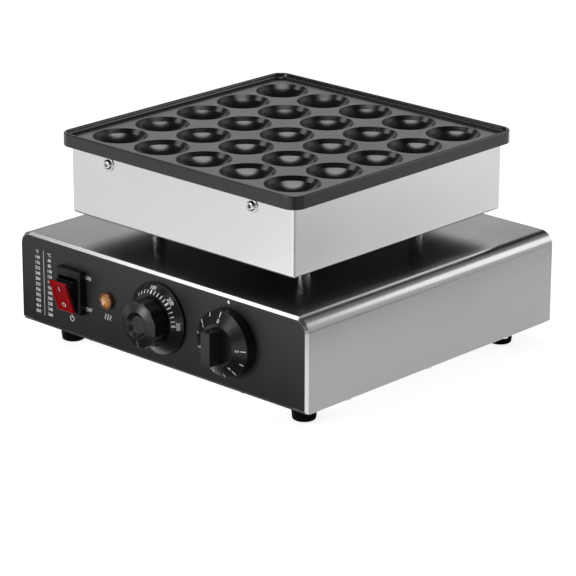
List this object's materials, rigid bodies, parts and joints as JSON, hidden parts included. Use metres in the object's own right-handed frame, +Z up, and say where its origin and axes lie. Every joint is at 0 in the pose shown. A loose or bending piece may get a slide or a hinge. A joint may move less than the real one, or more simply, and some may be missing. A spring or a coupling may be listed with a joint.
{
  "type": "mini pancake maker",
  "caption": "Countertop cooker: square black cast plate with round pockets on a steel heater casing, posted over a low control base with rocker switch, lamp, thermostat and timer.",
  "frame": {"origin": "middle of the footprint, on the surface that the feet stand on", "axes": "+X to the right along the front panel, +Y to the rear, +Z up"},
  "size_m": [0.337, 0.37, 0.1896],
  "materials": {
    "coated_casting": "satin black non-stick coating",
    "stainless": "satin brushed",
    "plated_sheet": "plain",
    "bright_steel": "polished",
    "zinc_steel": "zinc plated",
    "reflector_sheet": "bright",
    "fibre_blanket": "matt fibre",
    "element_sheath": "heat darkened",
    "brass_contacts": "plain",
    "copper_tube": "plain",
    "overlay_film": "fine matt black",
    "black_plastic": "moulded black",
    "knob_plastic": "satin moulded black",
    "red_plastic": "clear red",
    "amber_plastic": "clear amber",
    "pale_moulding": "plain",
    "foot_rubber": "matt",
    "lead_sleeve": "smooth sleeve"
  },
  "bodies": {
    "base": {"grill_plate": "coated_casting", "heater_casing": "stainless", "casing_screws": "bright_steel", "casing_washers": "bright_steel", "casing_floor": "plated_sheet", "insulation_pad": "fibre_blanket", "heat_reflector": "reflector_sheet", "heating_elements": "element_sheath", "element_pins": "brass_contacts", "element_link": "brass_contacts", "clamp_bars": "plated_sheet", "clamp_screws": "zinc_steel", "sensor_bulb": "copper_tube", "bulb_clip": "plated_sheet", "capillary_tube": "copper_tube", "post_front_left": "bright_steel", "post_front_right": "bright_steel", "post_rear_left": "bright_steel", "post_rear_right": "bright_steel", "post_studs": "zinc_steel", "post_nuts": "zinc_steel", "base_cover": "stainless", "front_panel": "stainless", "panel_overlay": "overlay_film", "rear_panel": "stainless", "bottom_plate": "plated_sheet", "bottom_screws": "zinc_steel", "foot_front_left": "foot_rubber", "foot_front_right": "foot_rubber", "foot_rear_left": "foot_rubber", "foot_rear_right": "foot_rubber", "foot_screws": "zinc_steel", "foot_nuts": "zinc_steel", "switch_frame": "black_plastic", "switch_housing": "black_plastic", "switch_tabs": "brass_contacts", "pivot_pin": "bright_steel", "lamp_lens": "amber_plastic", "lamp_nut": "black_plastic", "lamp_body": "pale_moulding", "thermostat_dial": "knob_plastic", "thermostat_body": "pale_moulding", "thermostat_screws": "zinc_steel", "timer_body": "black_plastic", "timer_screws": "zinc_steel", "cable_gland": "black_plastic", "gland_cap": "black_plastic", "gland_nut": "black_plastic", "terminal_block": "pale_moulding", "earth_stud": "brass_contacts", "heater_leads": "lead_sleeve", "control_leads": "lead_sleeve"},
    "thermostat_control": {"thermostat_knob": "knob_plastic", "thermostat_shaft": "bright_steel"},
    "timer_control": {"timer_knob": "knob_plastic", "timer_shaft": "bright_steel"},
    "power_rocker": {"rocker": "black_plastic", "rocker_cap": "red_plastic"}
  },
  "joints": [
    {"name": "thermostat_turn", "type": "hinge", "parent": "base", "child": "thermostat_control", "pos_m": [0.002, -0.1557, 0.0614], "axis": [0, 1, 0], "range_deg": [0, 280]},
    {"name": "timer_turn", "type": "hinge", "parent": "base", "child": "timer_control", "pos_m": [0.0835, -0.1557, 0.0614], "axis": [0, 1, 0], "range_deg": [0, 270], "stiffness_Nm_per_rad": 0.004},
    {"name": "rocker_press", "type": "hinge", "parent": "base", "child": "power_rocker", "pos_m": [-0.1017, -0.1597, 0.0614], "axis": [-1, 0, 0], "range_deg": [0, 38]}
  ]
}
